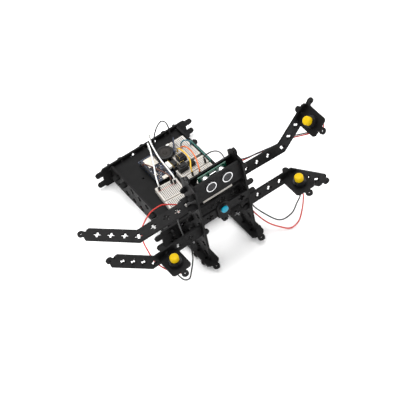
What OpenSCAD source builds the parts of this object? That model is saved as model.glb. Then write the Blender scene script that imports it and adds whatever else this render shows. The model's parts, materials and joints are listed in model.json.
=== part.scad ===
// Spider robot kit: a flat tray on two front legs, a tall head between two
// uprights, four bent arms with push buttons, and loose wiring. Every black
// piece is a flat plate with plus-shaped slots that takes rounded prongs.

/* [Plates] */
// Thickness of every black plate
t = 3; // [2.8:0.1:3.1]
// Width of the wide plates: tray walls, uprights, face
wide = 35; // [34:0.5:36]
// Width of the narrow strips: arms and legs
narrow = 20; // [19:0.5:20.5]
// Length of one stroke of a plus-shaped slot
slot_l = 10; // [9.8:0.1:10.4]
// Width of one stroke of a plus-shaped slot
slot_w = 3.3; // [3.3:0.1:3.6]
// Width of a prong
prong_w = 9; // [8:0.5:9.4]
// Radius of the hole in a ring tab
eye_r = 1.6; // [1.2:0.1:2]
// Outer radius of a ring tab
ring_r = 5; // [4.5:0.1:5.5]

/* [Tray] */
// Length of the front and rear walls without their prongs
wall_l = 145; // [144:0.5:146]
// Height of the deck's upper face above the floor
deck_top = 28.5; // [28:0.5:29]

/* [Head] */
// Height of the uprights' bottom edge above the floor
upright_z = 9.5; // [9.5:0.1:9.6]
// Length of the uprights without ear and prongs
upright_l = 145; // [144:0.5:145]
// Distance between the two sensor cans
eye_gap = 26; // [25:0.5:26.5]
// Diameter of one sensor can
can_d = 16; // [15:0.5:16.2]

/* [Buttons] */
// Diameter of the yellow caps
cap_d = 12.5; // [12:0.5:13.5]
// Diameter of the round housing around a yellow cap
bezel_d = 18; // [17:0.5:18]
// Travel of a yellow cap
cap_travel = 2.5; // [2:0.1:2.5]
// Diameter of the blue cap
blue_d = 10.5; // [9:0.5:10.5]

/* [Wires] */
// Diameter of the button leads
lead_d = 2; // [1.7:0.1:2]
// Diameter of the jumper wires
jumper_d = 2; // [1.7:0.1:2]

/* [Hidden] */
$fn = 48;
P = 19;              // slot pitch
X0 = 80;             // middle plane of the robot, measured from the left wall prongs
OX = 73.5;           // origin offset: the middle of the outline
OY = 26.25;
OZ = 8.5;            // the floor is 8.5 below the layout's zero
ZW = 9;              // middle height of the tray walls
ZD = 18.5;           // middle height of the deck
XL = X0 - 2*P;       // left upright and leg
XR = X0 + 2*P;       // right upright and leg
YU = -52;            // middle of the uprights
YF = YU - P/2;       // front slot column
YB = YU + P/2;       // rear slot column
R0 = 107;            // height of the upper arm row
row = function(k) R0 - P*k;
ZA = row(2.5);       // middle height of the lower arms, 59.5
ZU = row(0.5);       // middle height of the upper right arm, 97.5
c1 = 0.15;           // plate clearance

module place() { translate([-OX, -OY, OZ]) children(); }

// ---- flat outlines ----
module cross2() { square([slot_l, slot_w], center = true); square([slot_w, slot_l], center = true); }
module prong2(l) { translate([-prong_w/2, -0.5]) square([prong_w, l - prong_w/2 + 0.5]); translate([0, l - prong_w/2]) circle(d = prong_w); }
module ring2(n) { translate([-ring_r*0.8, -1]) square([ring_r*1.6, n + 1]); translate([0, n]) circle(r = ring_r); }
module eye2(n) { translate([0, n]) circle(r = eye_r); }
module plate2(l, w, c) polygon([[-l/2 + c, -w/2], [l/2 - c, -w/2], [l/2, -w/2 + c], [l/2, w/2 - c], [l/2 - c, w/2], [-l/2 + c, w/2], [-l/2, w/2 - c], [-l/2, -w/2 + c]]);
// stand a flat outline in the plane facing front (u to +X, v to +Z), centred on y
module xz(y) translate([0, y + t/2, 0]) rotate([90, 0, 0]) linear_extrude(t) children();
// stand a flat outline in a side plane (u to +Y, v to +Z), centred on x
module yz(x) translate([x - t/2, 0, 0]) rotate([90, 0, 90]) linear_extrude(t) children();
// lay a flat outline down, centred on z
module xy(z) translate([0, 0, z - t/2]) linear_extrude(t) children();

// ---- tray ----
module tray_wall2() {
  difference() {
    union() {
      plate2(wall_l, wide, 2.5);
      for (s = [-1, 1], v = [-P/2, P/2]) translate([s*(wall_l/2), v]) rotate(-90*s) prong2(11);
    }
    for (k = [-3:3], v = [-P/2, P/2]) translate([k*P, v]) cross2();
  }
}
module rear_wall() color([0.08, 0.08, 0.085]) place() xz(154.5) translate([X0, ZW]) tray_wall2();
module front_wall() color([0.08, 0.08, 0.085]) place() xz(-1.5) translate([X0, ZW]) tray_wall2();
module side_wall2() {
  difference() {
    union() {
      translate([76.5, ZW]) plate2(153 - 2*c1, wide, 2.5);
      for (v = [-P/2, P/2]) {
        translate([153 - c1, ZW + v]) rotate(-90) prong2(11);
        translate([c1, ZW + v]) rotate(90) prong2(11);
      }
    }
    for (k = [-3:3], v = [-P/2, P/2]) translate([76.5 + k*P, ZW + v]) cross2();
  }
}
module left_wall() color([0.08, 0.08, 0.085]) place() yz(X0 - 3*P) side_wall2();
module right_wall() color([0.08, 0.08, 0.085]) place() yz(X0 + 3*P) side_wall2();
module deck() color([0.16, 0.16, 0.165]) place() translate([0, 0, deck_top - OZ - t]) linear_extrude(t) {
  difference() {
    union() {
      translate([X0 - 3*P + t/2 + c1, c1]) square([6*P - t - 2*c1, 153 - 2*c1]);
      for (k = [-2, 0, 2]) translate([X0 + k*P, 153 - c1]) prong2(11);
      for (k = [-3, -2, 2, 3]) {
        translate([X0 - 3*P + t/2 + c1, 76.5 + k*P]) rotate(90) prong2(11);
        translate([X0 + 3*P - t/2 - c1, 76.5 + k*P]) rotate(-90) prong2(11);
      }
    }
    for (x = [47, 113], y = [57, 105]) translate([x, y]) circle(r = 1.6);
  }
}
// ---- uprights and legs ----
module upright2(horiz, shelf_z) {
  difference() {
    union() {
      translate([YU, upright_z - OZ + upright_l/2]) rotate(90) plate2(upright_l, wide, 5);
      translate([YU, upright_z - OZ + upright_l]) ring2(5.5);
      for (y = [YF, YB]) translate([y, upright_z - OZ]) rotate(180) prong2(upright_z);
    }
    translate([YU, upright_z - OZ + upright_l]) eye2(5.5);
    for (y = [YF, YB], k = [-1:5]) translate([y, row(k)]) cross2();
    // slot for the head shelf
    translate([YU, 99]) square([slot_l, slot_w], center = true);
    // notch for the front bar
    translate([YU - wide/2 - 1, 77.8]) square([1 + t + 0.1, 8.4]);
  }
}
module left_upright() color([0.09, 0.09, 0.095]) place() yz(XL) upright2();
module right_upright() color([0.09, 0.09, 0.095]) place() yz(XR) upright2();
module front_leg2() {
  difference() {
    union() {
      translate([0, -39.5]) rotate(90) plate2(73 - 2*c1, narrow, 3.5);
      translate([0, -76 + c1]) rotate(180) ring2(5);
      translate([0, -3 - c1]) prong2(11);
    }
    translate([0, -81 + c1]) circle(r = eye_r);
    for (y = [YF, YB, YB + P]) translate([0, y]) cross2();
  }
}
module left_front_leg() color([0.09, 0.09, 0.095]) place() translate([XL, 0, 0]) xy(-0.5) front_leg2();
module right_front_leg() color([0.09, 0.09, 0.095]) place() translate([XR, 0, 0]) xy(-0.5) front_leg2();
module leg_lock_plates() color([0.1, 0.1, 0.105]) place() for (s = [-1, 1]) translate([X0 + s*2*P, 0, -5.1]) linear_extrude(t)
  difference() {
    union() {
      translate([-6, YU - 16]) square([12, 32]);
      for (y = [YF, YB]) translate([s*5.5, y]) rotate(-90*s) prong2(6.5);
    }
    for (y = [YF, YB]) translate([0, y]) square([slot_w, prong_w + 0.4], center = true);
  }

// ---- arms: fork, straight run, 45 degree tip ----
// xs: shoulder, xb: bend hole, sgn: side, lp: prong length, hs: holes, dir: tip side, c: ring distance, pt: tip pitch
module arm2(xs, xb, sgn, lp, hs, dir, c, pt) {
  h = narrow/2;
  k = h*tan(22.5);
  e = c - 6;
  // tip frame: along and across
  ux = sgn*cos(45); uz = dir*sin(45);
  nx = -dir*sgn*sin(45); nz = cos(45);
  difference() {
    union() {
      pts = [[xs, -h + 1], [xs, h - 1], [xs + sgn, h], [xb - dir*sgn*k, h],
        [xb + ux*(e - 3) + nx*h, uz*(e - 3) + nz*h], [xb + ux*e + nx*(h - 3), uz*e + nz*(h - 3)],
        [xb + ux*e - nx*(h - 3), uz*e - nz*(h - 3)], [xb + ux*(e - 3) - nx*h, uz*(e - 3) - nz*h],
        [xb + dir*sgn*k, -h], [xs + sgn, -h]];
      polygon(sgn > 0 ? [for (i = [9:-1:0]) pts[i]] : pts);
      for (v = [-P/2, P/2]) translate([xs, v]) rotate(90*sgn) prong2(lp);
      translate([xb + ux*e, uz*e]) rotate(sgn > 0 ? dir*45 - 90 : 90 - dir*45) ring2(6);
    }
    for (x = hs) translate([x, 0]) cross2();
    translate([xb, 0]) rotate(dir > 0 ? sgn*22.5 : 0) cross2();
    for (i = [1:3]) translate([xb + ux*i*pt, uz*i*pt]) rotate(45) cross2();
    translate([xb + ux*c, uz*c]) circle(r = eye_r);
  }
}
// the arms hang a little in their slots
module hang(x, z, a) translate([x, 0, z]) rotate([0, a, 0]) translate([-x, 0, -z]) children();
AUL = -1; ALL = -3.5; AUR = 2.1;
module upper_left_arm() color([0.1, 0.1, 0.105]) place() hang(XL, R0, AUL) translate([0, YU, 0]) xy(R0) arm2(31, -44.5, -1, 14.5, [18.2, 0.2, -20.5], 1, 79.5, 19);
module lower_left_arm() color([0.1, 0.1, 0.105]) place() hang(XL, ZA, ALL) translate([0, 0, ZA]) xz(YF) arm2(XL - t/2 - 0.6, -38, -1, 11, [21.7, 2.2, -16.5], 1, 78.5, 18.5);
module upper_right_arm() color([0.1, 0.1, 0.105]) place() hang(XR, ZU, AUR) translate([0, 0, ZU]) xz(YB) arm2(XR + t/2 + 0.45, 194, 1, 11, [134.4, 152.6, 170.8], 1, 76, 18.7);
module lower_right_arm() color([0.1, 0.1, 0.105]) place() translate([0, 0, ZA]) xz(YF) arm2(XR + t/2 + c1, 189, 1, 11, [134.6, 152.8, 171], -1, 79, 19);

// ---- head ----
HX = X0 - XL - t/2 - c1;      // half the clear gap between the uprights
module face_plate() color([0.11, 0.11, 0.115]) place() difference() {
  xz(YF) difference() {
    union() {
      translate([X0, 125.95]) plate2(2*HX, 33.1, 1.5);
      for (s = [-1, 1]) translate([X0 + s*HX, row(-1)]) rotate(-90*s) prong2(11);
    }
    for (s = [-1, 1]) translate([SX + s*eye_gap/2, SZ]) circle(d = can_d + 0.6);
  }
}
module head_back_plate() color([0.08, 0.08, 0.085]) place() xz(YB) difference() {
  union() {
    translate([X0, 125.6]) plate2(2*HX, 25, 1.5);
    for (s = [-1, 1]) translate([X0 + s*HX, row(-1)]) rotate(-90*s) prong2(11);
  }
  for (k = [-1:1]) translate([X0 + k*P, 125.6]) cross2();
}
module head_shelf() color([0.09, 0.09, 0.095]) place() xy(99) difference() {
  union() {
    translate([X0, -43]) plate2(2*HX, 34, 1.5);
    for (s = [-1, 1]) translate([X0 + s*HX, YU]) rotate(-90*s) prong2(11);
  }
  for (k = [-1.5, 1.5]) translate([X0 + k*P, -43]) cross2();
}
module chest_plate() color([0.08, 0.08, 0.085]) place() xz(YB) difference() {
  union() {
    translate([X0, ZA]) plate2(2*HX, wide, 1.5);
    for (s = [-1, 1], v = [-P/2, P/2]) translate([X0 + s*HX, ZA + v]) rotate(-90*s) prong2(11);
  }
  for (k = [-1.5, -0.5, 0.5, 1.5], v = [-P/2, P/2]) translate([X0 + k*P, ZA + v]) cross2();
}
YN = YU - wide/2;             // front edge of the uprights
module front_bar() color([0.13, 0.13, 0.135]) place() difference() {
  xz(YN + t/2) difference() {
    union() {
      translate([X0, 82]) square([2*HX, 14], center = true);
      translate([X0, 82]) square([2*HX + 2*t + 2*c1, 8], center = true);
    }
    translate([68, 80.5]) square([14, 10]);
    for (x = [54, 106]) translate([x, 82]) cross2();
  }
  for (x = [70, 80]) translate([x, YN + 4, 77.7]) rotate([90, 0, 0]) cylinder(d = 3.2, h = 5);
}
module blue_button_bracket() color([0.16, 0.16, 0.165]) place() union() {
  translate([0, YN, 0]) rotate([90, 0, 0]) linear_extrude(t) difference() {
    union() {
      translate([75, 84]) plate2(19, 28, 4);
      translate([75, 70]) rotate(180) ring2(3.5);
    }
    translate([75, 66.5]) circle(r = eye_r);
    translate([75, 87.5]) circle(d = 8.2);
  }
  for (x = [70, 80]) translate([x, YN + 3.6, 77.7]) rotate([90, 0, 0]) cylinder(d = 3, h = 3.6);
}

// ---- yellow button brackets: local frame, prong to +Y, plate in XY, button up +Z ----
module bracket() linear_extrude(t, center = true) difference() {
  union() {
    translate([0, -19]) plate2(30, 38 - 2*c1, 3);
    translate([0, -c1]) prong2(16);
    translate([0, -38 + c1]) rotate(180) ring2(5.5);
  }
  translate([0, -43.5 + c1]) circle(r = eye_r);
  translate([0, -22]) circle(d = 12.3);
}
// place a bracket: lower left, lower right, upper right
BLX = -16.5; BRX = 189;
module at_ll() place() hang(XL, ZA, ALL) translate([BLX, YF - t/2, ZA]) children();
module at_lr() place() translate([BRX, YF - t/2, ZA]) children();
module at_ur() place() hang(XR, ZU, AUR) translate([194 + 56.1*cos(45), YB - t/2, ZU + 56.1*sin(45)]) rotate([0, -45, 0]) children();
module lower_left_bracket() color([0.09, 0.09, 0.095]) at_ll() bracket();
module lower_right_bracket() color([0.09, 0.09, 0.095]) at_lr() bracket();
module upper_right_bracket() color([0.09, 0.09, 0.095]) at_ur() bracket();
module all_yellow() { at_ll() children(); at_lr() children(); at_ur() children(); }
// housing: flange on the plate, collar, threaded barrel below, blind bore for the cap stem
module housing() translate([0, -22, t/2]) difference() {
  union() {
    cylinder(d = bezel_d, h = 6);
    cylinder(d = bezel_d - 2, h = 8);
    translate([0, 0, -t - 8]) cylinder(d = 12, h = t + 9);
  }
  translate([0, 0, 5]) cylinder(d = cap_d + 0.8, h = 4);
  translate([0, 0, -7]) cylinder(d = 8, h = 13);
}
module yellow_button_housings() color([0.05, 0.05, 0.055]) all_yellow() housing();
module hardware() translate([0, -22, -t/2]) {
  translate([0, 0, -2.6]) difference() { cylinder(d = 16, h = 2.5, $fn = 6); translate([0, 0, -1]) cylinder(d = 12.2, h = 5); }
  for (s = [-1, 1]) translate([s*2.5 - 0.4, -1, -13]) cube([0.8, 2, 5 - 0.02]);
}
module button_hardware() color([0.72, 0.72, 0.72]) {
  all_yellow() hardware();
  place() translate([75, 0, 87.5]) {
    translate([0, YN + 2.1, 0]) rotate([90, 0, 0]) difference() { cylinder(d = 11.5, h = 2, $fn = 6); translate([0, 0, -1]) cylinder(d = 8.1, h = 4); }
    for (s = [-1, 1]) translate([s*2 - 0.4, YN + 8.02, -1]) cube([0.8, 4, 2]);
  }
}
module ycap() translate([0, -22, t/2]) {
  translate([0, 0, 7.8]) rotate_extrude() polygon([[0, 0], [cap_d/2, 0], [cap_d/2, 5.4], [cap_d/2 - 0.5, 6.4], [cap_d/2 - 1.6, 7], [0, 7.2]]);
  translate([0, 0, 1]) cylinder(d = 7.4, h = 7);
}
module lower_left_cap() color([0.96, 0.86, 0.05]) at_ll() ycap();
module lower_right_cap() color([0.96, 0.86, 0.05]) at_lr() ycap();
module upper_right_cap() color([0.96, 0.86, 0.05]) at_ur() ycap();
module blue_button_housing() color([0.05, 0.05, 0.055]) place() translate([75, YN - t, 87.5]) rotate([90, 0, 0]) difference() {
  union() {
    cylinder(d = 13, h = 1.4);
    translate([0, 0, -t - 8]) cylinder(d = 8, h = t + 8.5);
  }
  translate([0, 0, 0.8]) cylinder(d = blue_d + 0.7, h = 2);
  translate([0, 0, -7]) cylinder(d = 5.4, h = 9);
}
module blue_cap() color([0.05, 0.7, 0.82]) place() translate([75, YN - t, 87.5]) rotate([90, 0, 0]) {
  translate([0, 0, 2.6]) rotate_extrude() polygon([[0, 0], [blue_d/2, 0], [blue_d/2, 1.6], [blue_d/2 - 1.2, 2.4], [0, 2.9]]);
  translate([0, 0, -4]) cylinder(d = 5, h = 7);
}

// ---- sensor ----
SX = X0 + 0.7; SZ = 129.5; SY = -50;     // middle of the board's front face
module sensor_board() color([0.02, 0.35, 0.25]) place() translate([SX, SY, SZ]) rotate([-90, 0, 0]) linear_extrude(1.6)
  difference() { square([45, 20], center = true); for (x = [-21, 21], y = [-8.5, 8.5]) translate([x, y]) circle(d = 1.7, $fn = 24); }
module sensor_cans() color([0.85, 0.85, 0.86]) place() for (s = [-1, 1]) translate([SX + s*eye_gap/2, SY, SZ]) rotate([90, 0, 0])
  difference() { cylinder(d = can_d, h = 16); translate([0, 0, 14.2]) cylinder(d = can_d - 2.4, h = 3); }
module sensor_header() color([0.06, 0.06, 0.06]) place() translate([SX, SY, SZ - 9]) {
  translate([-5.1, -2.62, 0]) cube([10.2, 2.6, 2.5]);
  for (i = [-1.5:1.5]) translate([i*2.54 - 0.32, -1.62, -11.38]) cube([0.64, 0.64, 11.4]);
}
// ---- breadboards ----
module breadboard(lx, ly, rav, ravy) difference() {
  translate([-lx/2, -ly/2, 0]) cube([lx, ly, 8.5]);
  translate([-lx/2 - 1, ravy - 1.2, 6]) cube([lx + 2, 2.4, 5]);
}
module head_breadboard() color([0.93, 0.93, 0.91]) place() translate([78, -41.3, 100.6]) difference() {
  breadboard(47, 35, 1, 0);
  // the four contact holes that take the sensor pins
  for (i = [-1.5:1.5]) translate([SX - 78 + i*2.54 - 0.5, SY + 41.3 - 1.8, 6.5]) cube([1, 1, 3]);
}
module left_breadboard() color([0.93, 0.93, 0.91]) place() translate([59.7, 38.7, 20]) rotate(-5.5) breadboard(34.5, 60, 1, 0);
module rear_breadboard() color([0.93, 0.93, 0.91]) place() translate([115, 105.5, 20]) rotate(90) breadboard(46.5, 35, 1, 0);
module front_breadboard() color([0.93, 0.93, 0.91]) place() translate([109.5, 60, 20]) breadboard(46.5, 35, 1, 0);
// ---- controller ----
CX = 55.6; CY = 78.2; CZ = 24.5;
module controller_board() color([0.05, 0.13, 0.3]) place() union() {
  translate([CX, CY, CZ]) linear_extrude(1.6) difference() { square([28, 53]); for (x = [2.6, 25.4], y = [2.6, 50.4]) translate([x, y]) circle(r = 1.5); }
}
module controller_headers() color([0.04, 0.04, 0.04]) place() {
  // two long header strips, with the pins below them that the board stands on
  for (x = [CX + 0.2, CX + 25.3]) translate([x, CY + 5.5, CZ + 1.61]) cube([2.5, 42, 2.2]);
  for (x = [CX + 0.2, CX + 25.3]) translate([x, CY + 5.5, 20.01]) cube([2.5, 42, CZ - 20.02]);
}
module controller_metal_parts() color([0.75, 0.75, 0.77]) place() {
  translate([CX + 6, CY + 30, CZ + 1.61]) cube([16, 18, 2.1]);
  translate([CX + 10, CY - 1.5, CZ + 1.61]) difference() { cube([8, 6, 2]); translate([0.8, -1, 0.4]) cube([6.4, 5, 1.2]); }
  // the fixed part of the reset switch
  translate([CX + 4.2, CY + 12, CZ + 1.61]) difference() { cube([4.4, 4.4, 1.6]); translate([2.2, 2.2, 0.5]) cylinder(d = 2.3, h = 3); }
}
module reset_button() color([0.05, 0.05, 0.05]) place() translate([CX + 6.4, CY + 14.2, CZ + 1.61]) translate([0, 0, 0.9]) cylinder(d = 2.1, h = 1.3);
module speaker() color([0.1, 0.1, 0.11]) place() translate([93, 114.5, 28.6]) rotate_extrude() polygon([[0, 0], [12.5, 0], [13, 0.6], [13, 4.4], [12.2, 5], [9.4, 5], [8.8, 3.4], [3.2, 2.2], [2.6, 3.4], [0, 3.8]]);
module side_board() color([0.02, 0.42, 0.36]) place() {
  translate([133.6, 59, 20.01]) cube([1.6, 52, 11.5]);
}
module driver_module() color([0.05, 0.05, 0.055]) place() {
  translate([85.8, 80, 20.01]) cube([10, 19.5, 7]);
  translate([87.5, 82, 27]) cube([7, 15, 3.5]);
  // small modules plugged into the two boards beside it
  translate([89, 67.5, 28.51]) cube([14, 9, 8.5]);
  translate([99, 84, 28.51]) cube([12, 12, 7]);
  translate([106, 68, 28.51]) cube([9, 8, 6]);
}
// upright board with its header, plugged into the rear breadboard
module blue_module() color([0.03, 0.09, 0.3]) place() translate([101.7, 101, 28.51]) rotate(59.7) union() {
  translate([0, -0.8, 2]) cube([27.8, 1.6, 9]);
  translate([6, -1.25, 0]) cube([15.4, 2.5, 2.5]);
}
module battery_case() color([0.05, 0.05, 0.055]) place() translate([X0, 81, 1.2]) difference() {
  translate([-33, -31, 0]) cube([66, 62, 15.79]);
  // lid seam all round
  for (s = [-1, 1]) {
    translate([s*33 - 0.4, -32, 3.5]) cube([0.8, 64, 0.8]);
    translate([-34, s*31 - 0.4, 3.5]) cube([68, 0.8, 0.8]);
  }
}

// ---- wires ----
function norm3(v) = v/norm(v);
// smooth curve through the points, one sample every step
function crp(a, b, c, d, s) = 0.5*((2*b) + (c - a)*s + (2*a - 5*b + 4*c - d)*s*s + (3*b - a - 3*c + d)*s*s*s);
function curve(p, step) = let(n = len(p)) [for (i = [0:n - 2]) let(
    a = i == 0 ? 2*p[0] - p[1] : p[i - 1], b = p[i], c = p[i + 1], d = i == n - 2 ? 2*p[n - 1] - p[n - 2] : p[i + 2],
    m = max(1, round(norm(c - b)/step))) for (j = [0:m - 1]) crp(a, b, c, d, j/m), p[n - 1]];
function tangents(q) = let(n = len(q)) [for (i = [0:n - 1]) norm3(q[min(n - 1, i + 1)] - q[max(0, i - 1)])];
function start_normal(v) = norm3(cross(v, abs(v[2]) < 0.8 ? [0, 0, 1] : [1, 0, 0]));
function normals(tg) = [for (i = 0, n = start_normal(tg[0]); i < len(tg); i = i + 1, n = i < len(tg) ? norm3(n - tg[i]*(n*tg[i])) : n) n];
module wire(p, d, step = 3.6) {
  q = curve(p, step); tg = tangents(q); nn = normals(tg); m = 8; k = len(q);
  pts = [for (i = [0:k - 1]) let(b = cross(tg[i], nn[i])) for (j = [0:m - 1]) q[i] + d/2*(cos(45*j)*nn[i] + sin(45*j)*b)];
  faces = concat([[for (j = [0:m - 1]) j]], [for (i = [0:k - 2], j = [0:m - 1]) [i*m + j, (i + 1)*m + j, (i + 1)*m + (j + 1)%m, i*m + (j + 1)%m]],
    [[for (j = [0:m - 1]) (k - 1)*m + m - 1 - j]]);
  place() polyhedron(points = pts, faces = faces, convexity = 6);
}
// routes, one point after another from the board to the far end
lr_black = [[91, -30, 109.2], [91, -30, 112], [94.5, -22, 112], [105, -12.5, 99], [117.5, -8.5, 85], [127.5, -13, 65],
  [130.5, -26, 44], [131.5, -44, 28], [138, -60, 18], [154, -74, 2], [170, -82, 10], [180, -84, 26],
  [186, -85, 36], [186.5, -85, 40.5], [186.5, -85, 44.9]];
lr_red = [[96, -30, 109.2], [96, -30, 112], [99.5, -23.5, 111], [107.5, -16, 97], [117.5, -14, 82], [125, -18.5, 62],
  [128, -30, 40], [129, -46, 20], [137, -68, 6], [150, -82, -3], [161, -90, -6.5], [174, -92, 0],
  [184.5, -89.5, 18], [190.5, -86, 32], [191.5, -85, 40], [191.5, -85, 44.9]];
ur_red = [[99.5, -35, 109.2], [99.5, -35, 111.5], [103.5, -31.5, 112.5], [110, -27.5, 109.5], [118, -27.5, 105],
  [127, -31, 104], [135, -34.5, 105.5], [142, -36.5, 106.2], [154, -36.5, 104.4], [167, -36.5, 101.8],
  [180, -36.5, 99.2], [194, -37, 97.3], [206, -38, 95.8], [217, -40.3, 96.3], [229, -49, 99.5],
  [241, -59.5, 105], [249.5, -65, 111], [250.8, -66, 118.5], [246.85, -66, 123.9]];
ur_grey = [[127, 62, 36.6], [127, 62, 41.5], [132, 53, 53], [134, 37, 68], [134, 22, 76.5], [131, 8, 80], [127, -4, 84.5],
  [125, -15, 95], [125, -25, 106.5], [128, -32, 111.5], [134.5, -37, 111.3], [146, -38.9, 109.2],
  [158, -38.9, 107.2], [171, -38.9, 104.4], [184, -38.9, 101.8], [197, -39, 100.3], [207, -39.3, 99.2],
  [216.5, -40, 99.3], [227, -48.5, 103], [237, -59, 108.5], [244.8, -65, 113.2], [246.2, -66, 117.2],
  [243.18, -66, 120.48]];
ll_red = [[52, 21.8, 28.6], [52, 21.8, 30.4], [47.2, 22, 34.2], [41.5, 22, 38.9], [34, 21.5, 45], [26.2, 21, 49.2], [8.34, 16.5, 52.93],
  [-10.93, 3, 56.76], [-20.97, -7, 57.15], [-28.9, -23, 55.66], [-32.77, -42, 53.42], [-33.46, -52, 48.37],
  [-30.54, -60, 41.54], [-24.68, -70, 35.89], [-17.45, -79, 32.32], [-12.99, -84.5, 33.09], [-12.71, -85, 36.62],
  [-13, -85, 41.51]];
ll_black = [[60, 24, 28.6], [60, 24, 32], [56, 19, 38], [44, 6, 46], [31, -16, 52], [23, -36, 53], [19.68, -52, 47.62],
  [18.99, -63, 42.56], [16.59, -70, 40.91], [10.31, -80, 37.02], [0.14, -90, 31.39], [-7.07, -95, 26.44],
  [-14.15, -93, 27.51], [-17.45, -86, 32.32], [-17.7, -85, 36.31], [-17.99, -85, 41.2]];
white_long = [[91, 149, 20.1], [91, 149, 30], [91, 149, 41], [89.3, 148, 46.5], [87, 144.5, 44.5], [84.8, 137, 41.5],
  [81.5, 124, 43], [77, 101, 43.5], [75, 78, 43], [73.5, 62, 42.5], [73, 58.5, 40], [73, 58.5, 36.6]];
white_short = [[84, 147, 20.1], [84, 147, 26], [82, 141, 38.5], [76, 124, 43], [65.5, 100, 41], [55, 78, 43], [50, 66, 43.5], [49, 62.5, 41], [49, 62.5, 36.6]];
grey_rear = [[95, 148, 20.1], [95, 148, 25], [97.5, 148, 37], [104.5, 148, 50], [113, 148, 56.5], [120, 148, 49.5],
  [122.5, 148, 36], [122.5, 148, 25], [122.5, 148, 20.1]];
yellow_route = [[109.5, 107, 28.6], [109.5, 107, 33], [109.3, 98, 41.5], [109, 80, 45.5], [106.5, 66, 45], [101, 57, 43.5], [100, 54, 40.5], [100, 54, 36.6]];
orange_route = [[116, 107, 28.6], [116, 107, 33], [118, 96, 41.5], [118, 80, 45], [115, 64, 45.5], [110, 50.5, 44], [108.5, 47, 40.5], [108.5, 47, 36.6]];
brown_route = [[57, 118, 28.45], [57, 118, 31.5], [58.5, 110, 36], [62.5, 96, 38.5], [66.5, 80, 41], [68.8, 67, 43], [69.3, 62, 41], [69.3, 62, 36.6]];
teal_route = [[118.5, 111, 28.6], [118.5, 111, 31.5], [120, 110, 37.5], [124.5, 108, 40.5], [129.3, 106, 37.5], [131, 105, 32], [131, 105, 28.6]];
plug_xy = [[127, 62], [73, 58.5], [49, 62.5], [100, 54], [108.5, 47], [69.3, 62]];
RED = [0.85, 0.12, 0.08]; BLK = [0.07, 0.07, 0.07]; GRY = [0.45, 0.45, 0.46];
module lower_right_red_wire() color(RED) wire(lr_red, lead_d);
module lower_right_black_wire() color(BLK) wire(lr_black, lead_d);
module upper_right_red_wire() color(RED) wire(ur_red, lead_d);
module upper_right_grey_wire() color(GRY) wire(ur_grey, lead_d);
module lower_left_red_wire() color(RED) wire(ll_red, lead_d);
module lower_left_black_wire() color(BLK) wire(ll_black, lead_d);
module white_jumper_long() color([0.93, 0.93, 0.93]) wire(white_long, jumper_d);
module white_jumper_short() color([0.93, 0.93, 0.93]) wire(white_short, jumper_d);
module grey_jumper() color(GRY) wire(grey_rear, lead_d);
module yellow_jumper() color([0.95, 0.8, 0.1]) wire(yellow_route, jumper_d);
module orange_jumper() color([0.95, 0.45, 0.15]) wire(orange_route, jumper_d);
module brown_jumper() color([0.42, 0.2, 0.13]) wire(brown_route, lead_d);
module teal_jumper() color([0.05, 0.35, 0.42]) wire(teal_route, jumper_d);
module jumper_plugs() color([0.04, 0.04, 0.04]) place() for (p = plug_xy) translate([p[0] - 1.25, p[1] - 1.25, 28.51]) cube([2.5, 2.5, 8.04]);

rear_wall();
front_wall();
left_wall();
right_wall();
deck();
left_upright();
right_upright();
left_front_leg();
right_front_leg();
leg_lock_plates();
upper_left_arm();
upper_right_arm();
lower_left_arm();
lower_right_arm();
face_plate();
head_back_plate();
head_shelf();
chest_plate();
front_bar();
blue_button_bracket();
lower_left_bracket();
lower_right_bracket();
upper_right_bracket();
yellow_button_housings();
button_hardware();
lower_left_cap();
lower_right_cap();
upper_right_cap();
blue_button_housing();
blue_cap();
sensor_board();
sensor_cans();
sensor_header();
head_breadboard();
controller_board();
controller_metal_parts();
controller_headers();
reset_button();
left_breadboard();
rear_breadboard();
front_breadboard();
speaker();
side_board();
driver_module();
blue_module();
battery_case();
jumper_plugs();
lower_right_red_wire();
lower_right_black_wire();
upper_right_red_wire();
upper_right_grey_wire();
lower_left_red_wire();
lower_left_black_wire();
white_jumper_long();
white_jumper_short();
grey_jumper();
yellow_jumper();
orange_jumper();
brown_jumper();
teal_jumper();
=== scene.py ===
import math, json
import bpy, bmesh
from mathutils import Vector, Matrix, Quaternion


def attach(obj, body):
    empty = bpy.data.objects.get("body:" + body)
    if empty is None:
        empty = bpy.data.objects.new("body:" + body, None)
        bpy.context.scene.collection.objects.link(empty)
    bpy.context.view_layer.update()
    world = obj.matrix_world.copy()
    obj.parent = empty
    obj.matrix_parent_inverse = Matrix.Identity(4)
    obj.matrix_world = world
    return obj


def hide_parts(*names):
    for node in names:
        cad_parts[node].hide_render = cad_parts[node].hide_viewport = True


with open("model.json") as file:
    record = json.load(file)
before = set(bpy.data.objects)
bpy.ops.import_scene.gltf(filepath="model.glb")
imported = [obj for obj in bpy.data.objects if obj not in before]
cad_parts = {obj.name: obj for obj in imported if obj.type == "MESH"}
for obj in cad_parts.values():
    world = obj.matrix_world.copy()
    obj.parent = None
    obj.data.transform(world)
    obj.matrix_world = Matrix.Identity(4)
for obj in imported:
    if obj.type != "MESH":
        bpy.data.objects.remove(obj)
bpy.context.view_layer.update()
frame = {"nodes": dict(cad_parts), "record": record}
N = frame["nodes"]

# the layout frame of the CAD, in millimetres, to the row frame in metres
OX, OY, OZ = 73.5, 26.25, 8.5


def W(x, y, z):
    return Vector(((x - OX) / 1000.0, (y - OY) / 1000.0, (z + OZ) / 1000.0))


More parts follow.
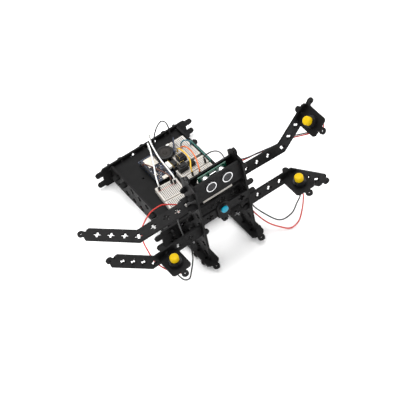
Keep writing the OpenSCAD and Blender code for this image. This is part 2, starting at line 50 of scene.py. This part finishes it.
# ------------------------------------------------------------------ camera
cd = bpy.data.cameras.new("view_camera")
cam = bpy.data.objects.new("view_camera", cd)
bpy.context.scene.collection.objects.link(cam)
right = Vector((0.8153528, -0.5586190, -0.1521334))
up = Vector((0.5065598, 0.5610767, 0.6546679))
back = Vector((-0.2803514, -0.6108500, 0.7404494))
M = Matrix.Identity(4)
for i in range(3):
    M[i][0], M[i][1], M[i][2] = right[i], up[i], back[i]
M[0][3], M[1][3], M[2][3] = -0.65279, -1.45697, 1.78230
cam.matrix_world = M
cd.sensor_width = 36.0
cd.lens = 153.0
cd.clip_start, cd.clip_end = 0.05, 50.0
bpy.context.scene.camera = cam


# --------------------------------------------------------------- materials
def material(name, base, rough=0.5, metal=0.0, spec=0.5, coat=0.0, coat_rough=0.1, bump=0.0, bump_scale=2500.0,
             var=0.0, var_scale=90.0, rvar=0.0, rvar_scale=160.0, sss=0.0, stretch=None, dust=0.0):
    m = bpy.data.materials.new(name)
    m.use_nodes = True
    nt = m.node_tree
    b = nt.nodes["Principled BSDF"]
    b.inputs["Metallic"].default_value = metal
    b.inputs["Specular IOR Level"].default_value = spec
    b.inputs["Coat Weight"].default_value = coat
    b.inputs["Coat Roughness"].default_value = coat_rough
    if sss:
        b.inputs["Subsurface Weight"].default_value = sss
        b.inputs["Subsurface Radius"].default_value = (0.002, 0.0015, 0.0008)
        b.inputs["Subsurface Scale"].default_value = 1.0
    b.inputs["Base Color"].default_value = (*base, 1)
    b.inputs["Roughness"].default_value = rough
    tc = nt.nodes.new("ShaderNodeTexCoord")
    src = tc.outputs["Object"]
    if stretch:
        mp = nt.nodes.new("ShaderNodeMapping")
        mp.inputs["Scale"].default_value = stretch
        nt.links.new(src, mp.inputs["Vector"])
        src = mp.outputs["Vector"]
    if var or dust:
        n = nt.nodes.new("ShaderNodeTexNoise")
        n.inputs["Scale"].default_value = var_scale
        n.inputs["Detail"].default_value = 6.0
        n.inputs["Roughness"].default_value = 0.62
        nt.links.new(src, n.inputs["Vector"])
        r = nt.nodes.new("ShaderNodeValToRGB")
        lo = tuple(max(0.0, c * (1 - var)) for c in base)
        hi = tuple(min(1.0, c * (1 + var) + dust) for c in base)
        r.color_ramp.elements[0].position, r.color_ramp.elements[0].color = 0.32, (*lo, 1)
        r.color_ramp.elements[1].position, r.color_ramp.elements[1].color = 0.70, (*hi, 1)
        nt.links.new(n.outputs["Fac"], r.inputs["Fac"])
        nt.links.new(r.outputs["Color"], b.inputs["Base Color"])
    if rvar:
        n2 = nt.nodes.new("ShaderNodeTexNoise")
        n2.inputs["Scale"].default_value = rvar_scale
        n2.inputs["Detail"].default_value = 5.0
        nt.links.new(src, n2.inputs["Vector"])
        mr = nt.nodes.new("ShaderNodeMapRange")
        mr.inputs["From Min"].default_value, mr.inputs["From Max"].default_value = 0.3, 0.7
        mr.inputs["To Min"].default_value = max(0.02, rough - rvar)
        mr.inputs["To Max"].default_value = min(1.0, rough + rvar)
        nt.links.new(n2.outputs["Fac"], mr.inputs["Value"])
        nt.links.new(mr.outputs["Result"], b.inputs["Roughness"])
    if bump:
        n3 = nt.nodes.new("ShaderNodeTexNoise")
        n3.inputs["Scale"].default_value = bump_scale
        n3.inputs["Detail"].default_value = 3.0
        nt.links.new(tc.outputs["Object"], n3.inputs["Vector"])
        bp = nt.nodes.new("ShaderNodeBump")
        bp.inputs["Strength"].default_value = bump
        bp.inputs["Distance"].default_value = 0.0001
        nt.links.new(n3.outputs["Fac"], bp.inputs["Height"])
        nt.links.new(bp.outputs["Normal"], b.inputs["Normal"])
    return m


def board_material(name, base, trace, pad, angle=0.0):
    """Solder mask with copper tracks and small pads under it, laid out by voronoi cells and bands."""
    m = material(name, base, rough=0.28, spec=0.5, coat=0.35, coat_rough=0.12, rvar=0.05)
    nt = m.node_tree
    b = nt.nodes["Principled BSDF"]
    tc = nt.nodes.new("ShaderNodeTexCoord")
    mp = nt.nodes.new("ShaderNodeMapping")
    mp.inputs["Rotation"].default_value = (0, 0, angle)
    mp.inputs["Scale"].default_value = (1, 1, 1)
    nt.links.new(tc.outputs["Object"], mp.inputs["Vector"])
    br = nt.nodes.new("ShaderNodeTexBrick")
    br.inputs["Scale"].default_value = 150.0
    br.inputs["Mortar Size"].default_value = 0.035
    br.inputs["Mortar Smooth"].default_value = 0.1
    br.inputs["Bias"].default_value = -0.3
    br.offset_frequency, br.squash_frequency = 3, 2
    br.inputs["Color1"].default_value = (*base, 1)
    br.inputs["Color2"].default_value = (*(c * 1.25 for c in base), 1)
    br.inputs["Mortar"].default_value = (*trace, 1)
    nt.links.new(mp.outputs["Vector"], br.inputs["Vector"])
    v = nt.nodes.new("ShaderNodeTexVoronoi")
    v.inputs["Scale"].default_value = 330.0
    nt.links.new(mp.outputs["Vector"], v.inputs["Vector"])
    lt = nt.nodes.new("ShaderNodeMath")
    lt.operation = "LESS_THAN"
    lt.inputs[1].default_value = 0.11
    nt.links.new(v.outputs["Distance"], lt.inputs[0])
    mx = nt.nodes.new("ShaderNodeMix")
    mx.data_type = "RGBA"
    nt.links.new(lt.outputs["Value"], mx.inputs["Factor"])
    nt.links.new(br.outputs["Color"], mx.inputs["A"])
    mx.inputs["B"].default_value = (*pad, 1)
    nt.links.new(mx.outputs["Result"], b.inputs["Base Color"])
    return m


MAT = {
    "plate_black": material("plate_black", (0.0044, 0.0042, 0.0044), rough=0.50, spec=0.11, bump=0.22, bump_scale=2200, var=0.25, var_scale=55, rvar=0.08, dust=0.0015),
    "deck_black": material("deck_black", (0.0060, 0.0059, 0.0061), rough=0.52, spec=0.09, bump=0.22, bump_scale=2200, var=0.25, var_scale=40, rvar=0.08, dust=0.002),
    "yellow_cap": material("yellow_cap", (0.55, 0.365, 0.0003), rough=0.42, spec=0.12, coat=0.02, coat_rough=0.25, sss=0.06, var=0.03, var_scale=200, rvar=0.03),
    "blue_cap": material("blue_cap", (0.004, 0.25, 0.37), rough=0.3, spec=0.28, coat=0.08, coat_rough=0.12, sss=0.12, var=0.06, var_scale=260, rvar=0.04),
    "button_black": material("button_black", (0.0055, 0.0055, 0.006), rough=0.32, spec=0.35, coat=0.1, coat_rough=0.2, bump=0.08, bump_scale=3000, rvar=0.05),
    "nickel": material("nickel", (0.62, 0.60, 0.56), rough=0.24, metal=1.0, rvar=0.08, rvar_scale=500, var=0.06),
    "green_board": board_material("green_board", (0.0015, 0.062, 0.034), (0.004, 0.10, 0.06), (0.30, 0.32, 0.26)),
    "teal_board": board_material("teal_board", (0.002, 0.075, 0.062), (0.005, 0.12, 0.10), (0.4, 0.4, 0.34)),
    "can_silver": material("can_silver", (0.78, 0.78, 0.79), rough=0.22, metal=1.0, rvar=0.06, rvar_scale=600, var=0.04),
    "blue_board": board_material("blue_board", (0.0015, 0.0055, 0.020), (0.003, 0.012, 0.045), (0.16, 0.15, 0.10), angle=0.0),
    "tinned_metal": material("tinned_metal", (0.56, 0.52, 0.46), rough=0.38, metal=0.85, rvar=0.1, rvar_scale=400, var=0.05),
    "header_black": material("header_black", (0.005, 0.005, 0.0052), rough=0.45, spec=0.25, bump=0.12, bump_scale=3500, rvar=0.06),
    "breadboard_white": material("breadboard_white", (0.50, 0.472, 0.435), rough=0.42, spec=0.45, bump=0.1, bump_scale=2600, var=0.035, var_scale=70, rvar=0.05, sss=0.05),
    "speaker_black": material("speaker_black", (0.010, 0.0095, 0.009), rough=0.5, spec=0.25, bump=0.2, bump_scale=2400, rvar=0.08),
    "case_black": material("case_black", (0.008, 0.008, 0.0085), rough=0.5, spec=0.25, bump=0.25, bump_scale=2400, rvar=0.07),
    "wire_red": material("wire_red", (0.50, 0.018, 0.010), rough=0.35, spec=0.5, sss=0.05, rvar=0.05, var=0.05, var_scale=300),
    "wire_black": material("wire_black", (0.007, 0.007, 0.0075), rough=0.35, spec=0.5, rvar=0.05, var=0.1, var_scale=300),
    "wire_grey": material("wire_grey", (0.030, 0.029, 0.031), rough=0.36, spec=0.5, rvar=0.05, var=0.06, var_scale=300),
    "wire_white": material("wire_white", (0.80, 0.80, 0.79), rough=0.36, spec=0.5, sss=0.05, rvar=0.05, var=0.03, var_scale=300),
    "wire_yellow": material("wire_yellow", (0.70, 0.41, 0.010), rough=0.36, spec=0.5, sss=0.05, rvar=0.05, var=0.04, var_scale=300),
    "wire_orange": material("wire_orange", (0.62, 0.13, 0.022), rough=0.36, spec=0.5, sss=0.05, rvar=0.05, var=0.04, var_scale=300),
    "wire_brown": material("wire_brown", (0.075, 0.024, 0.014), rough=0.38, spec=0.5, rvar=0.05, var=0.06, var_scale=300),
    "wire_teal": material("wire_teal", (0.006, 0.10, 0.14), rough=0.36, spec=0.5, sss=0.05, rvar=0.05, var=0.05, var_scale=300),
}
X = {
    # near-black colour for flat squares that paint the shade inside holes and socket openings
    "hole": material("contact_hole", (0.012, 0.012, 0.013), rough=0.6, spec=0.2),
    "gold": material("gold_pin", (0.75, 0.55, 0.22), rough=0.25, metal=1.0, rvar=0.06, rvar_scale=900),
    "tin": material("tin_lead", (0.62, 0.62, 0.63), rough=0.28, metal=1.0, rvar=0.08, rvar_scale=700),
    "chip": material("chip_epoxy", (0.006, 0.006, 0.0065), rough=0.5, spec=0.25, bump=0.2, bump_scale=4000),
    "ceramic": material("ceramic_part", (0.35, 0.24, 0.13), rough=0.45, spec=0.4),
    "white_plastic": material("white_connector", (0.78, 0.78, 0.75), rough=0.4, spec=0.45, sss=0.05, bump=0.05),
    "mesh": material("can_mesh", (0.10, 0.10, 0.105), rough=0.45, metal=0.7, bump=0.2, bump_scale=3000),
    "dark": material("can_inside", (0.012, 0.012, 0.012), rough=0.8, spec=0.2),
    "cone": material("speaker_cone", (0.022, 0.019, 0.017), rough=0.6, spec=0.2, bump=0.3, bump_scale=1800, var=0.15, var_scale=120),
    "blue_part": material("blue_part", (0.01, 0.035, 0.20), rough=0.35, spec=0.5, coat=0.2),
    "red_part": material("red_part", (0.65, 0.03, 0.02), rough=0.3, spec=0.5, coat=0.3, sss=0.1),
    "rail_red": material("rail_red", (0.50, 0.06, 0.04), rough=0.45, spec=0.4),
    "solder": material("solder", (0.6, 0.6, 0.6), rough=0.3, metal=1.0, bump=0.2, bump_scale=1500),
    "crystal": material("crystal_can", (0.7, 0.7, 0.7), rough=0.22, metal=1.0),
    "foil": material("beige_board_label", (0.62, 0.56, 0.45), rough=0.5, spec=0.4),
}

# ------------------------------------------------------------ cords first
ROUTES = {
    "lower_right_black_wire": ("wire_black", 2.0, "medium", "hanging", [(91, -30, 109.2), (91, -30, 112), (94.5, -22, 112), (105, -12.5, 99), (117.5, -8.5, 85), (127.5, -13, 65), (130.5, -26, 44), (131.5, -44, 28), (138, -60, 18), (154, -74, 2), (170, -82, 10), (180, -84, 26), (186, -85, 36), (186.5, -85, 40.5), (186.5, -85, 44.9)]),
    "lower_right_red_wire": ("wire_red", 2.0, "medium", "hanging", [(96, -30, 109.2), (96, -30, 112), (99.5, -23.5, 111), (107.5, -16, 97), (117.5, -14, 82), (125, -18.5, 62), (128, -30, 40), (129, -46, 20), (137, -68, 6), (150, -82, -3), (161, -90, -6.5), (174, -92, 0), (184.5, -89.5, 18), (190.5, -86, 32), (191.5, -85, 40), (191.5, -85, 44.9)]),
    "upper_right_red_wire": ("wire_red", 2.0, "medium", "loose", [(99.5, -35, 109.2), (99.5, -35, 111.5), (103.5, -31.5, 112.5), (110, -27.5, 109.5), (118, -27.5, 105), (127, -31, 104), (135, -34.5, 105.5), (142, -36.5, 106.2), (154, -36.5, 104.4), (167, -36.5, 101.8), (180, -36.5, 99.2), (194, -37, 97.3), (206, -38, 95.8), (217, -40.3, 96.3), (229, -49, 99.5), (241, -59.5, 105), (249.5, -65, 111), (250.8, -66, 118.5), (246.85, -66, 123.9)]),
    "upper_right_grey_wire": ("wire_grey", 2.0, "medium", "loose", [(127, 62, 36.6), (127, 62, 41.5), (132, 53, 53), (134, 37, 68), (134, 22, 76.5), (131, 8, 80), (127, -4, 84.5), (125, -15, 95), (125, -25, 106.5), (128, -32, 111.5), (134.5, -37, 111.3), (146, -38.9, 109.2), (158, -38.9, 107.2), (171, -38.9, 104.4), (184, -38.9, 101.8), (197, -39, 100.3), (207, -39.3, 99.2), (216.5, -40, 99.3), (227, -48.5, 103), (237, -59, 108.5), (244.8, -65, 113.2), (246.2, -66, 117.2), (243.18, -66, 120.48)]),
    "lower_left_red_wire": ("wire_red", 2.0, "medium", "loose", [(52, 21.8, 28.6), (52, 21.8, 30.4), (47.2, 22, 34.2), (41.5, 22, 38.9), (34, 21.5, 45), (26.2, 21, 49.2), (8.34, 16.5, 52.93), (-10.93, 3, 56.76), (-20.97, -7, 57.15), (-28.9, -23, 55.66), (-32.77, -42, 53.42), (-33.46, -52, 48.37), (-30.54, -60, 41.54), (-24.68, -70, 35.89), (-17.45, -79, 32.32), (-12.99, -84.5, 33.09), (-12.71, -85, 36.62), (-13, -85, 41.51)]),
    "lower_left_black_wire": ("wire_black", 2.0, "medium", "loose", [(60, 24, 28.6), (60, 24, 32), (56, 19, 38), (44, 6, 46), (31, -16, 52), (23, -36, 53), (19.68, -52, 47.62), (18.99, -63, 42.56), (16.59, -70, 40.91), (10.31, -80, 37.02), (0.14, -90, 31.39), (-7.07, -95, 26.44), (-14.15, -93, 27.51), (-17.45, -86, 32.32), (-17.7, -85, 36.31), (-17.99, -85, 41.2)]),
    "white_jumper_long": ("wire_white", 2.0, "stiff", "loose", [(91, 149, 20.1), (91, 149, 30), (91, 149, 41), (89.3, 148, 46.5), (87, 144.5, 44.5), (84.8, 137, 41.5), (81.5, 124, 43), (77, 101, 43.5), (75, 78, 43), (73.5, 62, 42.5), (73, 58.5, 40), (73, 58.5, 36.6)]),
    "white_jumper_short": ("wire_white", 2.0, "stiff", "loose", [(84, 147, 20.1), (84, 147, 26), (82, 141, 38.5), (76, 124, 43), (65.5, 100, 41), (55, 78, 43), (50, 66, 43.5), (49, 62.5, 41), (49, 62.5, 36.6)]),
    "grey_jumper": ("wire_grey", 2.0, "stiff", "loose", [(95, 148, 20.1), (95, 148, 25), (97.5, 148, 37), (104.5, 148, 50), (113, 148, 56.5), (120, 148, 49.5), (122.5, 148, 36), (122.5, 148, 25), (122.5, 148, 20.1)]),
    "yellow_jumper": ("wire_yellow", 2.0, "stiff", "loose", [(109.5, 107, 28.6), (109.5, 107, 33), (109.3, 98, 41.5), (109, 80, 45.5), (106.5, 66, 45), (101, 57, 43.5), (100, 54, 40.5), (100, 54, 36.6)]),
    "orange_jumper": ("wire_orange", 2.0, "stiff", "loose", [(116, 107, 28.6), (116, 107, 33), (118, 96, 41.5), (118, 80, 45), (115, 64, 45.5), (110, 50.5, 44), (108.5, 47, 40.5), (108.5, 47, 36.6)]),
    "brown_jumper": ("wire_brown", 2.0, "stiff", "loose", [(57, 118, 28.45), (57, 118, 31.5), (58.5, 110, 36), (62.5, 96, 38.5), (66.5, 80, 41), (68.8, 67, 43), (69.3, 62, 41), (69.3, 62, 36.6)]),
    "teal_jumper": ("wire_teal", 2.0, "stiff", "loose", [(118.5, 111, 28.6), (118.5, 111, 31.5), (120, 110, 37.5), (124.5, 108, 40.5), (129.3, 106, 37.5), (131, 105, 32), (131, 105, 28.6)]),
}


def smooth_route(p, step):
    q = []
    n = len(p)
    p = [Vector(v) for v in p]
    for i in range(n - 1):
        a = 2 * p[0] - p[1] if i == 0 else p[i - 1]
        b, c = p[i], p[i + 1]
        d = 2 * p[n - 1] - p[n - 2] if i == n - 2 else p[i + 2]
        m = max(1, round((c - b).length / step))
        for j in range(m):
            s = j / m
            q.append(0.5 * (2 * b + (c - a) * s + (2 * a - 5 * b + 4 * c - d) * s * s + (3 * b - a - 3 * c + d) * s ** 3))
    q.append(p[n - 1])
    return q


for node, (slot_name, dia, stiff, lay, pts) in ROUTES.items():
    fine = [W(*v) for v in smooth_route(pts, 1.8)]
    cu = bpy.data.curves.new(node + "_lead", "CURVE")
    cu.dimensions = "3D"
    sp = cu.splines.new("POLY")
    sp.points.add(len(fine) - 1)
    for k, v in enumerate(fine):
        sp.points[k].co = (*v, 1)
    sp.use_smooth = True
    cu.bevel_depth = dia / 2000.0
    cu.bevel_resolution = 3
    cu.use_fill_caps = True
    ob = bpy.data.objects.new(node + "_lead", cu)
    bpy.context.scene.collection.objects.link(ob)
    cu.materials.append(MAT[slot_name])
    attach(ob, "frame")
    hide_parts(node)

# --------------------------------------------------- materials on CAD nodes
slot_of = {s["node"]: s["material_slot"] for s in frame["record"]["subparts"]}
BEVEL = {"plate_black": 0.00014, "deck_black": 0.00014, "button_black": 0.00035, "nickel": 0.00012, "green_board": 0.0001, "teal_board": 0.0001,
         "can_silver": 0.00022, "blue_board": 0.0001, "tinned_metal": 0.00018, "header_black": 0.00012, "breadboard_white": 0.00035, "speaker_black": 0.0003,
         "case_black": 0.0009, "yellow_cap": 0.0004, "blue_cap": 0.0003}
for name, ob in N.items():
    s = slot_of[name]
    ob.data.materials.clear()
    ob.data.materials.append(MAT[s])
    if name in ROUTES:
        continue
    for poly in ob.data.polygons:
        poly.use_smooth = True
    wd = ob.modifiers.new("weld", "WELD")
    wd.merge_threshold = 0.000004
    bv = ob.modifiers.new("bevel", "BEVEL")
    bv.width = BEVEL[s]
    bv.segments = 2
    bv.limit_method = "ANGLE"
    bv.angle_limit = math.radians(38)
    bv.harden_normals = False
    bv.use_clamp_overlap = True
    bv.miter_outer = "MITER_ARC"
    wn = ob.modifiers.new("normals", "WEIGHTED_NORMAL")
    wn.keep_sharp = True
    wn.weight = 80


# ------------------------------------------------------------ detail pieces
def finish_mesh(name, bm, mat, body="frame", bevel=0.0, smooth=False):
    me = bpy.data.meshes.new(name)
    bm.normal_update()
    bm.to_mesh(me)
    bm.free()
    ob = bpy.data.objects.new(name, me)
    bpy.context.scene.collection.objects.link(ob)
    for m in (mat if isinstance(mat, (list, tuple)) else [mat]):
        me.materials.append(m)
    if smooth:
        for p in me.polygons:
            p.use_smooth = True
    if bevel:
        bv = ob.modifiers.new("bevel", "BEVEL")
        bv.width = bevel
        bv.segments = 2
        bv.limit_method = "ANGLE"
        bv.angle_limit = math.radians(38)
    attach(ob, body)
    return ob


def add_box(bm, T, c, s, mi=0):
    """box of size s centred on c (mm in the local frame), T maps local mm to the row frame"""
    r = bmesh.ops.create_cube(bm, size=1.0)
    vs = r["verts"]
    for v in vs:
        v.co = T @ Vector((c[0] + v.co.x * s[0], c[1] + v.co.y * s[1], c[2] + v.co.z * s[2]))
    for f in {f for v in vs for f in v.link_faces}:
        f.material_index = mi
    return vs


def add_cyl(bm, T, c, r, h, seg=24, mi=0, axis="Z", r2=None):
    ret = bmesh.ops.create_cone(bm, cap_ends=True, cap_tris=False, segments=seg, radius1=r, radius2=r if r2 is None else r2, depth=h)
    vs = ret["verts"]
    for v in vs:
        p = v.co.copy()
        if axis == "X":
            p = Vector((p.z, p.x, p.y))
        elif axis == "Y":
            p = Vector((p.x, -p.z, p.y))
        v.co = T @ (Vector(c) + p)
    for f in {f for v in vs for f in v.link_faces}:
        f.material_index = mi
    return vs


def place(x, y, z, rot=0.0):
    """local millimetres at a layout point, turned about the vertical, to the row frame"""
    return Matrix.Translation(W(x, y, z)) @ Matrix.Rotation(math.radians(rot), 4, "Z") @ Matrix.Diagonal((0.001, 0.001, 0.001, 1))


def breadboard(name, x, y, ztop, rot, lx, ly, rav, hx=1.3, hy=1.3):
    T = place(x, y, ztop, rot)
    bm = bmesh.new()
    nx = int((lx - 3.0) / 2.54)
    xs = [(i - (nx - 1) / 2) * 2.54 for i in range(nx)]
    ys = []
    k = rav + 3.81
    while k < ly / 2 - 1.6:
        ys.append(k)
        k += 2.54
    k = rav - 3.81
    while k > -ly / 2 + 1.6:
        ys.append(k)
        k -= 2.54
    for px in xs:
        for py in ys:
            # each hole is a flat dark square on the surface: painted shade standing in for the recess
            add_box(bm, T, (px, py, 0.01), (hx, hy, 0.06))
    return finish_mesh(name, bm, X["hole"])


# painted hole shade on the four breadboards
breadboard("left_board_hole_shade", 59.7, 38.7, 28.5, -5.5, 34.5, 60, 0, 1.2, 1.75)
breadboard("rear_board_hole_shade", 115, 105.5, 28.5, 90, 46.5, 35, 0, 1.15, 1.4)
breadboard("front_board_hole_shade", 109.5, 60, 28.5, 0, 46.5, 35, 0, 1.15, 1.4)
breadboard("head_board_hole_shade", 78, -41.3, 109.1, 0, 47, 35, 0)

# sensor: mesh in the mouths of the cans, crystal, chips and solder on the rear face
SX, SY, SZ = 80.7, -50.0, 129.5
I = place(0, 0, 0)
bm = bmesh.new()
bd = bmesh.new()
for s in (-1, 1):
    cx = SX + s * 13
    add_cyl(bd, I, (cx, SY - 14.3, SZ), 6.75, 0.2, 40, axis="Y")
    for k in range(-5, 6):
        h = 2 * math.sqrt(max(0.2, 6.7 ** 2 - (k * 1.12) ** 2))
        add_box(bm, I, (cx + k * 1.12, SY - 14.8, SZ), (0.34, 0.3, h))
        add_box(bm, I, (cx, SY - 14.8, SZ + k * 1.12), (h, 0.3, 0.34))
finish_mesh("can_mesh_wires", bm, X["mesh"])
finish_mesh("can_mesh_backing", bd, X["dark"])
bm = bmesh.new()
for (cx, cz, w, h) in ((-13, 1, 5, 4), (0, 2.5, 6.2, 5.2), (12.5, 1, 5, 4)):
    add_box(bm, I, (SX + cx, SY + 2.3, SZ + cz), (w, 1.4, h))
finish_mesh("sensor_chips", bm, X["chip"], bevel=0.0001)
bm = bmesh.new()
add_box(bm, I, (SX, SY - 1.4, SZ + 5.2), (10.6, 2.8, 3.6))
finish_mesh("sensor_crystal", bm, X["crystal"], bevel=0.0009)
bm = bmesh.new()
for i in range(26):
    a = (i * 7919) % 97 / 97.0
    c = (i * 5347) % 89 / 89.0
    add_box(bm, I, (SX - 20 + 40 * a, SY + 1.9, SZ - 8 + 16.5 * c), (1.6, 0.5, 0.8) if i % 2 else (0.8, 0.5, 1.6), 0 if i % 3 else 1)
finish_mesh("sensor_smd", bm, [X["ceramic"], X["tin"]])
bm = bmesh.new()
for i in range(4):
    add_cyl(bm, I, (SX + (i - 1.5) * 2.54, SY + 1.9, SZ - 8.6), 0.8, 0.7, 12, axis="Y", r2=0.4)
for s in (-1, 1):
    for k in (-1, 1):
        add_cyl(bm, I, (SX + s * 13 + k * 2.5, SY + 1.9, SZ - 3.5), 0.9, 0.7, 12, axis="Y", r2=0.4)
finish_mesh("sensor_solder", bm, X["solder"], smooth=True)

# controller: chip, small parts, painted shade in the header socket openings, and pins
CX, CY, CZ = 55.6, 78.2, 26.1
T = place(CX, CY, CZ)
bm = bmesh.new()
add_box(bm, T, (14, 21.5, 0.55), (7, 7, 1.1))
add_box(bm, T, (20.5, 13.5, 0.8), (3.6, 6.6, 1.6))
add_box(bm, T, (8.0, 26.0, 0.45), (3, 3, 0.9))
finish_mesh("controller_chips", bm, X["chip"], bevel=0.0001)
bm = bmesh.new()
for i in range(38):
    a = (i * 3571) % 83 / 83.0
    c = (i * 6151) % 79 / 79.0
    px, py = 4.6 + 18.8 * a, 3.0 + 25.0 * c
    if 10 < px < 18 and 17.5 < py < 25.5 or 4 < px < 9 and 11 < py < 17 or 9 < px < 19 and py < 6:
        continue
    add_box(bm, T, (px, py, 0.3), (1.5, 0.8, 0.6) if i % 2 else (0.8, 1.5, 0.6), i % 3)
finish_mesh("controller_smd", bm, [X["ceramic"], X["tin"], X["chip"]])
bm = bmesh.new()
# flat dark squares over the socket openings: painted shade in place of the recesses
for hx in (1.45, 26.55):
    for i in range(16):
        add_box(bm, T, (hx, 7.4 + i * 2.54, 2.22), (1.0, 1.0, 0.1))
finish_mesh("controller_socket_hole_shade", bm, X["hole"])
bm = bmesh.new()
for hx in (3.15, 24.85):
    for i in range(16):
        add_cyl(bm, T, (hx, 7.4 + i * 2.54, 0.15), 0.55, 0.3, 10, r2=0.3)
finish_mesh("controller_solder", bm, X["gold"], smooth=True)

# driver module between the boards: chip, header and pins
T = place(85.8, 80, 27.0)
bm = bmesh.new()
add_box(bm, T, (5.4, 9.5, 4.6), (5.0, 9, 2.2))
add_box(bm, T, (1.4, 9.7, 1.25), (2.4, 17.8, 2.5))
finish_mesh("driver_parts", bm, X["chip"], bevel=0.0002)
bm = bmesh.new()
for i in range(7):
    add_box(bm, T, (1.4, 2.2 + i * 2.54, 5.0), (0.62, 0.62, 5.2))
finish_mesh("driver_pins", bm, X["gold"])

# small modules plugged into the boards: chips, header pins
bm = bmesh.new()
for (x, y, z, w, l, h) in ((96, 72, 37.01, 7, 5, 1.4), (105, 90, 35.51, 7, 7, 1.6), (110.5, 72, 34.51, 5, 4, 1.2)):
    add_box(bm, I, (x, y, z + h / 2), (w, l, h))
finish_mesh("module_chips", bm, X["chip"], bevel=0.0002)
bm = bmesh.new()
for i in range(5):
    add_box(bm, I, (90.4 + i * 2.54, 75.4, 39.6), (0.64, 0.64, 5.2))
for i in range(4):
    add_box(bm, I, (100.4, 85.8 + i * 2.54, 37.6), (0.64, 0.64, 4.2))
finish_mesh("module_pins", bm, X["gold"])
bm = bmesh.new()
add_box(bm, I, (84.8, 92.4, 29.62), (5.4, 12.5, 5.2))
add_box(bm, I, (88.4, 129.5, 22.3), (4.5, 6.5, 4.5))
add_box(bm, I, (104.5, 125.2, 30.3), (5, 3.4, 3.6))
finish_mesh("white_connectors", bm, X["white_plastic"], bevel=0.0009)
# pins and a red link along the front edge of the head breadboard
bm = bmesh.new()
for k in range(7):
    add_box(bm, I, (58 + k * 5.6, -57.4, 109.75), (1.1, 1.0, 1.3), 0 if k % 2 else 1)
add_box(bm, I, (95.0, -57.5, 109.9), (4.2, 1.6, 1.5), 2)
finish_mesh("head_board_links", bm, [X["gold"], X["chip"], X["red_part"]])
# rail lines on the left breadboard
TL = place(59.7, 38.7, 28.5, -5.5)
bm = bmesh.new()
add_box(bm, TL, (0, 21.6, 0.02), (31, 0.55, 0.05))
add_box(bm, TL, (0, -28.6, 0.02), (31, 0.55, 0.05))
finish_mesh("rail_lines_red", bm, X["rail_red"])
# blue module: chips on its face
TB = Matrix.Translation(W(101.7, 101, 28.51)) @ Matrix.Rotation(math.radians(59.7), 4, "Z") @ Matrix.Diagonal((0.001, 0.001, 0.001, 1))
bm = bmesh.new()
for (x, z, w, h) in ((7, 7, 5, 4), (15, 6.5, 4, 3), (22, 7.5, 3.5, 3.5)):
    add_box(bm, TB, (x, 1.35, z), (w, 1.1, h))
finish_mesh("blue_module_chips", bm, X["chip"], bevel=0.0001)

# side board: components on the face that looks inwards
T = place(133.6, 59, 20.0)
bm = bmesh.new()
for i, (py, pz, w, h) in enumerate(((8, 7.6, 6, 3.4), (20, 8.2, 4, 2.6), (31, 7.4, 7, 3.6), (44, 8.4, 4, 2.4))):
    add_box(bm, T, (-0.6, py, pz + 1.2), (1.2, w, h))
finish_mesh("side_board_chips", bm, X["chip"], bevel=0.0001)

# speaker cone ring
bm = bmesh.new()
T = place(93, 114.5, 28.6)
prof = [(8.9, 3.5), (9.0, 4.6), (8.4, 4.9), (7.6, 4.3), (3.4, 2.6), (2.9, 3.5), (1.8, 4.2), (0.0, 4.4)]
seg = 48
rings = []
for (r, z) in prof[:-1]:
    rings.append([bm.verts.new(T @ Vector((r * math.cos(2 * math.pi * k / seg), r * math.sin(2 * math.pi * k / seg), z))) for k in range(seg)])
top = bm.verts.new(T @ Vector((0, 0, prof[-1][1])))
for a, b in zip(rings[:-1], rings[1:]):
    for k in range(seg):
        bm.faces.new((a[k], a[(k + 1) % seg], b[(k + 1) % seg], b[k]))
for k in range(seg):
    bm.faces.new((rings[-1][k], rings[-1][(k + 1) % seg], top))
finish_mesh("speaker_cone", bm, X["cone"], smooth=True)

# --------------------------------------------------------------- stage, light
bpy.ops.mesh.primitive_plane_add(size=12.0, location=(0, 0, -0.0002))
floor = bpy.context.object
floor.name = "studio_floor"
fm = bpy.data.materials.new("studio_white")
fm.use_nodes = True
fb = fm.node_tree.nodes["Principled BSDF"]
fb.inputs["Base Color"].default_value = (0.94, 0.94, 0.94, 1)
fb.inputs["Roughness"].default_value = 0.65
fb.inputs["Specular IOR Level"].default_value = 0.25
floor.data.materials.append(fm)


def area(name, loc, target, size, power, color=(1, 1, 1)):
    ld = bpy.data.lights.new(name, "AREA")
    ld.shape = "RECTANGLE"
    ld.size, ld.size_y = size
    ld.energy = power
    ld.color = color
    lo = bpy.data.objects.new(name, ld)
    bpy.context.scene.collection.objects.link(lo)
    lo.location = loc
    lo.rotation_euler = (Vector(target) - Vector(loc)).to_track_quat("-Z", "Y").to_euler()
    return lo


area("top_softbox", (0.15, 0.55, 1.9), (0, 0, 0), (1.9, 1.5), 40)
area("left_softbox", (-1.5, -0.7, 1.0), (0, 0, 0.05), (1.0, 1.2), 7.5)
area("right_softbox", (1.5, -0.5, 1.1), (0, 0, 0.05), (0.9, 1.2), 6)
w = bpy.data.worlds.new("studio_world")
w.use_nodes = True
w.node_tree.nodes["Background"].inputs["Color"].default_value = (1, 1, 1, 1)
w.node_tree.nodes["Background"].inputs["Strength"].default_value = 0.95
bpy.context.scene.world = w
bpy.context.scene.view_settings.view_transform = "Standard"
